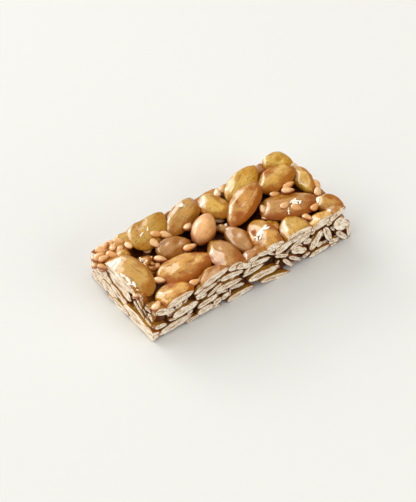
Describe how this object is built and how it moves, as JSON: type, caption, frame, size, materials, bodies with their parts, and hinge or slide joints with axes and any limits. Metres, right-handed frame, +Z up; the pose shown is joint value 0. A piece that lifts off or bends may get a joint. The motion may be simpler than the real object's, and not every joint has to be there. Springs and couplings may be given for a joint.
{
  "type": "seed bar",
  "caption": "Rectangular pressed snack bar of whole and cut pumpkin kernels and sesame seeds bound by glossy syrup, flat underneath.",
  "frame": {"origin": "centre of the bar's box in plan, at the height of the surface that it rests on", "axes": "+X along the bar's length, +Y across it to the back, +Z up"},
  "size_m": [0.0628, 0.0282, 0.013],
  "materials": {
    "glazed_skin": "toasted pumpkin kernel skin under a thin coat of glossy syrup, amber to olive brown",
    "cut_kernel": "matt cream inside of a cut kernel, with fine saw marks",
    "sesame": "pale golden sesame seeds, lightly glazed",
    "syrup": "dark reddish-brown hard syrup"
  },
  "bodies": {
    "root": {"seed_bar": "glazed_skin"}
  },
  "joints": []
}
